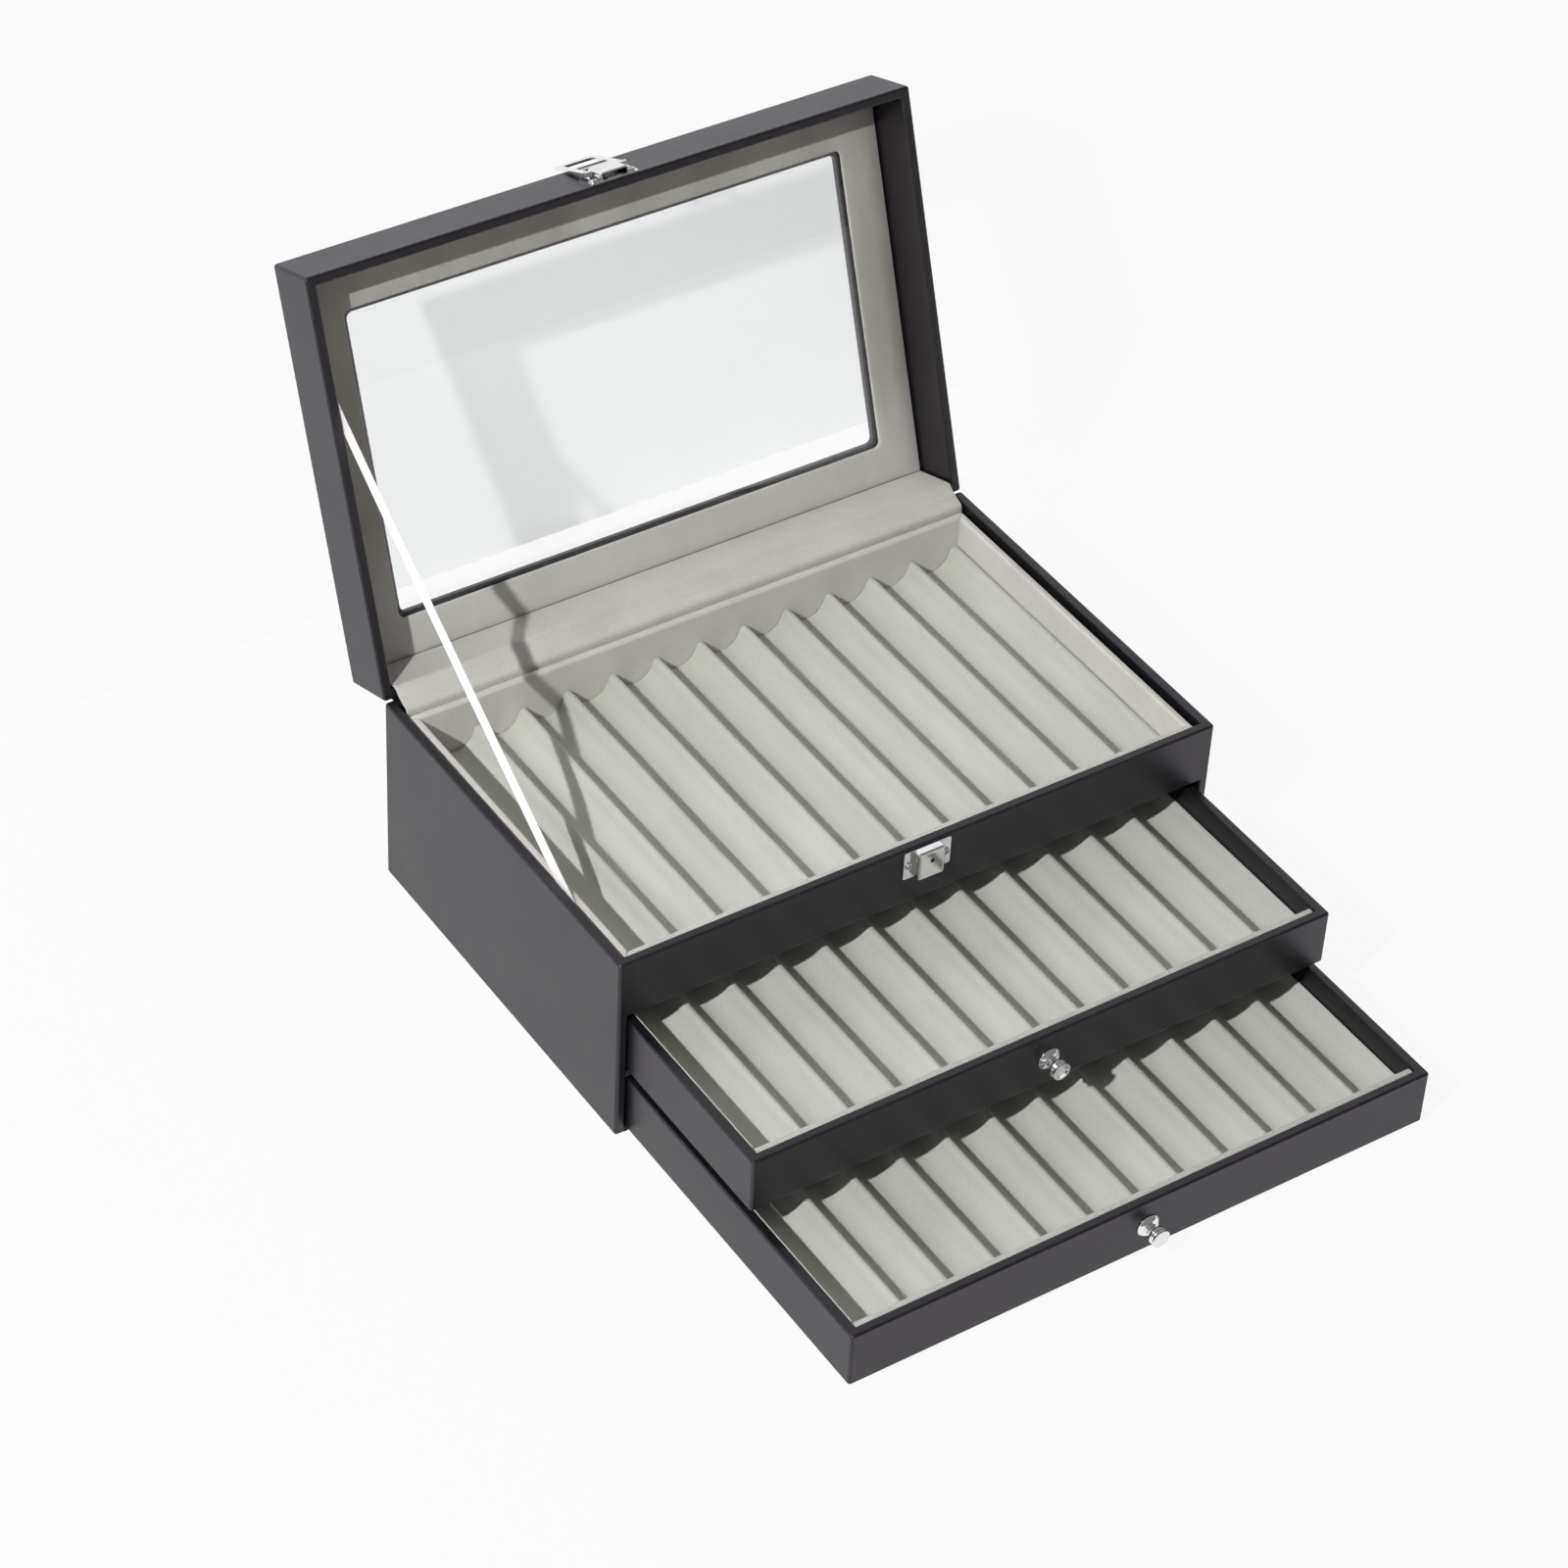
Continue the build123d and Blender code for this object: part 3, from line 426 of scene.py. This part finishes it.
insert("tray_bed", "tray_insert", "case", -157.0, 154.44, -151.6, TRAY_RIDGES / GROOVES,
       TRAY_RIDGE_Z, DECK_TOP, -97.7, 89.7, seed=1)
MIDDLE_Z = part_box("middle_drawer_floor")[0].z / MM
DRAWERS = {"middle_drawer": (MIDDLE_Z, MIDDLE_PULL), "bottom_drawer": (BOTTOM_Z, BOTTOM_PULL)}
for k, (drawer, (z0, pull)) in enumerate(DRAWERS.items()):
    front = -HALF_D - pull
    insert(f"{drawer}_bed", f"{drawer}_insert", drawer, -DRAWER_HALF, DRAWER_HALF, -151.0,
           DRAWER_RIDGES / GROOVES, z0 + 18.7, z0 + 2.5, front + 9.05, front + 203.7,
           flap=z0 + 30.4, seed=11 + 5 * k)


# ------------------------------------------------------------------ velvet-covered boards
def board(name, node, body, start, along, inward, length, thick, low_z, top_z, mitre, mat,
          r=1.3, seed=0):
    """A covered board on edge: velvet rounded over its top by r, ends mitred or rounded."""
    side = []
    for i in range(7):
        a = math.pi / 2 * i / 6
        side.append((r - r * math.cos(a), top_z - r + r * math.sin(a)))
    section = [(0, low_z)] + [(0, low_z + (top_z - r - low_z) * f) for f in (0.35, 0.7, 0.93)]
    section += side
    section += [(thick - o, z) for o, z in reversed(side)]
    section += [(thick, low_z + (top_z - r - low_z) * f) for f in (0.93, 0.7, 0.35)]
    section += [(thick, low_z)]
    rings = []
    for s in stations(0, length, 5.0, 1.2):
        share = s / length
        ring = []
        for o, z in section:
            pull_in = mitre * o
            p = pull_in + (length - 2 * pull_in) * share
            n = noise.noise(Vector((s * 0.03, z * 0.05, seed + o * 0.1)))
            swell = 0.10 * n
            ease = sink(min(s, length - s), 1.2)
            zz = z - (ease * (0.5 if mitre else 0.8) if z > low_z + 1 else 0)
            oo = o + swell * (1 if o > thick / 2 else -0.3)
            if not mitre:
                oo = thick / 2 + (oo - thick / 2) * (1 - 0.55 * ease / 1.2)
            ring.append((start[0] + along[0] * p + inward[0] * oo,
                         start[1] + along[1] * p + inward[1] * oo, zz))
        rings.append(ring)
    return finish_mesh(name, swept(rings), mat, body, node, angle=50)


LX0, LX1, LY0, LY1 = -161.5, 159.2, -102.0, 94.0
TOP = 105.6
TRAY_EDGES = {
    "left": ((LX0, LY0), (0, 1), (1, 0), LY1 - LY0),
    "right": ((LX1, LY0), (0, 1), (-1, 0), LY1 - LY0),
    "front": ((LX0, LY0), (1, 0), (0, 1), LX1 - LX0),
    "back": ((LX0, LY1), (1, 0), (0, -1), LX1 - LX0),
}
for k, (side, (start, along, inward, length)) in enumerate(TRAY_EDGES.items(), 1):
    board(f"tray_edge_{side}", f"tray_liner_{side}", "case", start, along, inward, length, 4,
          DECK_TOP, TOP, 1, LINER, seed=k)
for k, (drawer, (z0, pull)) in enumerate(DRAWERS.items()):
    front = -HALF_D - pull
    board(f"{drawer}_edge", f"{drawer}_front_liner", drawer, (-DRAWER_HALF, front + WALL), (1, 0),
          (0, 1), 2 * DRAWER_HALF, 4, z0 + 2.5, z0 + 30, 0, VELVET, 1.4, seed=6 + k)


# ------------------------------------------------------------------ velvet frame inside the lid
def rounded_loop(half_x, half_s, radius, per_side=28, per_corner=7):
    """Points round a rectangle with rounded corners, starting at the middle of its right side."""
    corners = [(1, 1), (-1, 1), (-1, -1), (1, -1)]
    points = []
    for q, (cx, cs) in enumerate(corners):
        centre = (cx * (half_x - radius), cs * (half_s - radius))
        for i in range(per_corner + 1):
            a = math.pi / 2 * (q + i / per_corner)
            points.append((centre[0] + radius * math.cos(a), centre[1] + radius * math.sin(a)))
        nx = corners[(q + 1) % 4]
        begin = points[-1]
        a = math.pi / 2 * (q + 1)
        finish = (nx[0] * (half_x - radius) + radius * math.cos(a),
                  nx[1] * (half_s - radius) + radius * math.sin(a))
        for i in range(1, per_side):
            f = i / per_side
            points.append((begin[0] + (finish[0] - begin[0]) * f,
                           begin[1] + (finish[1] - begin[1]) * f))
    return points


def lid_frame(name, node):
    """One velvet-covered card with its window's edge turned over."""
    mid_s, shift = 107.0, -2.2
    # half width, half height, corner radius, depth into the lid, how far the window's shift acts
    layers = [
        (161.4, 101.0, 1.0, 27.95, 0), (161.4, 101.0, 1.0, 26.9, 0), (160.9, 100.5, 1.0, 26.55, 0),
        (152.0, 93.0, 2.0, 26.5, 0.2), (145.5, 84.5, 3.0, 26.5, 0.8),
        (140.6, 79.85, 3.4, 26.52, 1), (139.9, 79.15, 3.4, 26.7, 1), (139.6, 78.85, 3.4, 27.2, 1),
        (139.6, 78.85, 3.4, 27.95, 1),
    ]
    bm = bmesh.new()
    loops = []
    for half_x, half_s, radius, t, inner in layers:
        loop = []
        for x, s in rounded_loop(half_x, half_s, radius):
            ss = mid_s + s + shift * inner
            wave = 0.06 * noise.noise(Vector((x * 0.03, ss * 0.03, 3.0))) if t < 26.6 else 0
            loop.append(bm.verts.new(m(lid_point(x, ss, t - wave))))
        loops.append(loop)
    count = len(loops[0])
    for a, b in zip(loops, loops[1:] + loops[:1]):
        for i in range(count):
            j = (i + 1) % count
            bm.faces.new((a[i], a[j], b[j], b[i]))
    return finish_mesh(name, bm, LID_VELVET, "lid", node, angle=50)


lid_frame("lid_velvet", "lid_liner_frame")


# ------------------------------------------------------------------ strips running over the hinge into the open lid
def curve_through(points, per):
    """A smooth line through points, Catmull-Rom."""
    ends = [points[0]] + list(points) + [points[-1]]
    out = []
    for a, b, c, d in zip(ends, ends[1:], ends[2:], ends[3:]):
        for i in range(per):
            f = i / per
            out.append(tuple(
                0.5 * (2 * b[k] + (c[k] - a[k]) * f + (2 * a[k] - 5 * b[k] + 4 * c[k] - d[k]) * f * f
                       + (3 * b[k] - a[k] - 3 * c[k] + d[k]) * f ** 3) for k in range(2)))
    out.append(tuple(points[-1]))
    return out


def strip(name, node, path, thick, half_x, mat, wave, creases=()):
    """A long strip of cloth or leather whose middle follows a path in the YZ plane."""
    rings = []
    count = len(path)
    for x in stations(-half_x, half_x, 4.0, 1.0):
        near, far = [], []
        for i, (y, z) in enumerate(path):
            p = path[max(i - 1, 0)]
            q = path[min(i + 1, count - 1)]
            length = math.hypot(q[0] - p[0], q[1] - p[1]) or 1
            ny, nz = -(q[1] - p[1]) / length, (q[0] - p[0]) / length
            f = i / (count - 1)
            lift = wave * noise.noise(Vector((x * 0.025, f * 3.0, 5.0))) * math.sin(math.pi * f)
            for at, width, depth in creases:
                lift -= depth * math.exp(-((f - at) / width) ** 2)
            thin = 1 - 0.35 * (1 - min(1.0, (half_x - abs(x)) / 0.8))
            half = thick / 2 * thin
            near.append((x, y + ny * (lift + half), z + nz * (lift + half)))
            far.append((x, y + ny * (lift - half), z + nz * (lift - half)))
        rings.append(near + far[::-1])
    return finish_mesh(name, swept(rings), mat, None, node, angle=50)


# ends of each path are where the cloth or leather is glued
seam_s = WALL + 0.7
lining_path = curve_through([
    lid_point(0, seam_s, 26.1)[1:], lid_point(0, seam_s, 20)[1:], lid_point(0, seam_s, 10)[1:],
    lid_point(0, seam_s, 0.6)[1:], (107.3, 111.9), (105.0, 110.1), (101.4, 108.2), (97.9, 106.9),
    (96.9, 104.0), (96.65, 96.2)], 7)
lining = strip("hinge_cloth", "hinge_lining", lining_path, 0.9, 161.0, LINER,
               0.22, ((0.62, 0.012, 0.25), (0.5, 0.01, 0.12)))
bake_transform(lining)

back_path = curve_through([
    (107.42, 87.4), (107.42, 95), (107.42, 103), (107.5, 106.3)], 5)[:-1] + curve_through([
        (107.75, 106.75), lid_point(0, -0.4, 3)[1:], lid_point(0, -0.4, 10)[1:],
        lid_point(0, -0.4, 19.8)[1:]], 5)
strap = strip("hinge_strap", "hinge_leather", back_path, 0.72, 162.4, STRAP,
              0.0)
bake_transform(strap)


# ------------------------------------------------------------------ ribbon
RIBBON_X, RIBBON_HALF_W, RIBBON_HALF_T = -162.0, 4.45, 0.13
RIBBON_FOOT = (-49.4, 107.0)
RIBBON_SAG, RIBBON_CUP = -1.6, 0.16


def ribbon():
    """Satin ribbon drawn nearly tight, sagging and cupped a little, its foot run down the side."""
    end_y, end_z = lid_point(0, 176.8, 26.0)[1:]
    foot = Vector(RIBBON_FOOT)
    run = Vector((end_y - foot.x, end_z - foot.y))
    length = run.length
    run.normalize()
    across = Vector((-run.y, run.x))
    tuck = 11.4 / run.y
    rings = []
    count = 90
    for i in range(count + 1):
        d = -tuck + (length + tuck + 0.4) * i / count
        arch = math.sin(math.pi * max(0.0, min(1.0, d / length)))
        middle = foot + run * d + Vector((0, RIBBON_SAG * arch))
        section = []
        for face in (1, -1):
            for j in range(7):
                w = face * (-1 + j / 3)
                lift = face * RIBBON_HALF_T + RIBBON_CUP * arch * (1 - w * w)
                section.append((w * RIBBON_HALF_W, lift))
        ring = []
        for a, lift in section:
            p = middle + across * a
            ring.append((RIBBON_X + lift, p.x, p.y))
        rings.append(ring)
    return finish_mesh("ribbon", swept(rings), CREAM, None, "ribbon_stay", 50)


lid_stay = ribbon()
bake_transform(lid_stay)

# ------------------------------------------------------------------ floor, wall and light
def backdrop(name, colour, share, through_glass):
    """White to the eye and in reflections, with part of the shadows; more of them through glass."""
    mat = bpy.data.materials.new(name)
    mat.use_nodes = True
    tree = mat.node_tree
    tree.nodes.clear()
    out = tree.nodes.new("ShaderNodeOutputMaterial")
    plain = tree.nodes.new("ShaderNodeBsdfDiffuse")
    plain.inputs[0].default_value = (*colour, 1)
    lit = tree.nodes.new("ShaderNodeEmission")
    lit.inputs[0].default_value = (*[min(1.0, c * 1.06) for c in colour], 1)
    lit.inputs[1].default_value = 1.0
    path = tree.nodes.new("ShaderNodeLightPath")
    direct = tree.nodes.new("ShaderNodeMath")
    direct.operation = "MAXIMUM"
    tree.links.new(path.outputs["Is Camera Ray"], direct.inputs[0])
    tree.links.new(path.outputs["Is Glossy Ray"], direct.inputs[1])
    kept = tree.nodes.new("ShaderNodeMath")
    kept.operation = "MULTIPLY"
    kept.inputs[1].default_value = share
    tree.links.new(direct.outputs[0], kept.inputs[0])
    swap = tree.nodes.new("ShaderNodeMix")
    swap.inputs["B"].default_value = through_glass
    tree.links.new(path.outputs["Is Transmission Ray"], swap.inputs["Factor"])
    tree.links.new(kept.outputs[0], swap.inputs["A"])
    seen = swap.outputs["Result"]
    both = tree.nodes.new("ShaderNodeMixShader")
    tree.links.new(seen, both.inputs[0])
    tree.links.new(plain.outputs[0], both.inputs[1])
    tree.links.new(lit.outputs[0], both.inputs[2])
    gone = tree.nodes.new("ShaderNodeBsdfTransparent")
    side = tree.nodes.new("ShaderNodeNewGeometry")
    pick = tree.nodes.new("ShaderNodeMixShader")
    tree.links.new(side.outputs["Backfacing"], pick.inputs[0])
    tree.links.new(both.outputs[0], pick.inputs[1])
    tree.links.new(gone.outputs[0], pick.inputs[2])
    tree.links.new(pick.outputs[0], out.inputs[0])
    return mat


def sheet_of(name, corners, mat):
    mesh = bpy.data.meshes.new(name)
    mesh.from_pydata([Vector(c) for c in corners], [], [tuple(range(len(corners)))])
    mesh.materials.append(mat)
    obj = bpy.data.objects.new(name, mesh)
    bpy.context.scene.collection.objects.link(obj)
    return obj


FAR, WALL_Y, WALL_TOP = 6, 0.298, 1.2
FLOOR_MAT = backdrop("floor_white", (0.93, 0.925, 0.92), 0.94, 0.94)
WALL_MAT = backdrop("wall_white", (0.92, 0.92, 0.935), 0.95, 0.5)
sheet_of("floor", [(-FAR, -FAR, 0), (FAR, -FAR, 0), (FAR, WALL_Y, 0), (-FAR, WALL_Y, 0)],
         FLOOR_MAT)
sheet_of("floor_behind", [(-FAR, WALL_Y, 0), (FAR, WALL_Y, 0), (FAR, FAR, 0), (-FAR, FAR, 0)],
         FLOOR_MAT)
sheet_of("wall", [(-FAR, WALL_Y, 0), (FAR, WALL_Y, 0), (FAR, WALL_Y, WALL_TOP),
                  (-FAR, WALL_Y, WALL_TOP)], WALL_MAT)

scene = bpy.context.scene
world = bpy.data.worlds.new("studio")
scene.world = world
world.use_nodes = True
wt = world.node_tree
wt.nodes.clear()
w_out = wt.nodes.new("ShaderNodeOutputWorld")
w_soft = wt.nodes.new("ShaderNodeBackground")
w_soft.inputs[0].default_value = (1.0, 0.985, 0.96, 1)
w_soft.inputs[1].default_value = 0.23
w_seen = wt.nodes.new("ShaderNodeBackground")
w_seen.inputs[0].default_value = (1, 1, 1, 1)
w_seen.inputs[1].default_value = 1.0
w_path = wt.nodes.new("ShaderNodeLightPath")
w_mix = wt.nodes.new("ShaderNodeMixShader")
w_max = wt.nodes.new("ShaderNodeMath")
w_max.operation = "MAXIMUM"
wt.links.new(w_path.outputs["Is Camera Ray"], w_max.inputs[0])
wt.links.new(w_path.outputs["Is Transmission Ray"], w_max.inputs[1])
wt.links.new(w_max.outputs[0], w_mix.inputs[0])
wt.links.new(w_soft.outputs[0], w_mix.inputs[1])
wt.links.new(w_seen.outputs[0], w_mix.inputs[2])
wt.links.new(w_mix.outputs[0], w_out.inputs[0])


KEY_AT, KEY_AIM = Vector((-1.8, -0.96, 1.83)), Vector((0, -0.05, 0.07))
key_data = bpy.data.lights.new("key", "AREA")
key_data.shape = "DISK"
key_data.size = 0.06
key_data.energy = 54.0
key_data.color = (1.0, 0.995, 0.985)
key = bpy.data.objects.new("key", key_data)
key.location = KEY_AT
key.rotation_euler = (KEY_AIM - KEY_AT).to_track_quat("-Z", "Y").to_euler()
scene.collection.objects.link(key)

# ------------------------------------------------------------------ camera, fitted to the photograph
LENS = 107.48
CAM_X, CAM_Y, CAM_Z = -0.9972, -1.4001, 1.5407
AZ, EL, ROLL = -0.61527, 0.71030, 0.056796
cam_data = bpy.data.cameras.new("camera")
cam = bpy.data.objects.new("camera", cam_data)
scene.collection.objects.link(cam)
scene.camera = cam
cam_data.sensor_width = 36.0
cam_data.lens = LENS
cam_data.clip_start = 0.05
cam_data.clip_end = 30.0
back = Vector((math.sin(AZ) * math.cos(EL), -math.cos(AZ) * math.cos(EL), math.sin(EL)))
level = Vector((0, 0, 1)).cross(back).normalized()
upright = back.cross(level)
right = level * math.cos(ROLL) + upright * math.sin(ROLL)
up = -level * math.sin(ROLL) + upright * math.cos(ROLL)
cam.matrix_world = Matrix((
    (right.x, up.x, back.x, CAM_X),
    (right.y, up.y, back.y, CAM_Y),
    (right.z, up.z, back.z, CAM_Z),
    (0, 0, 0, 1),
))

scene.view_settings.view_transform = "Standard"
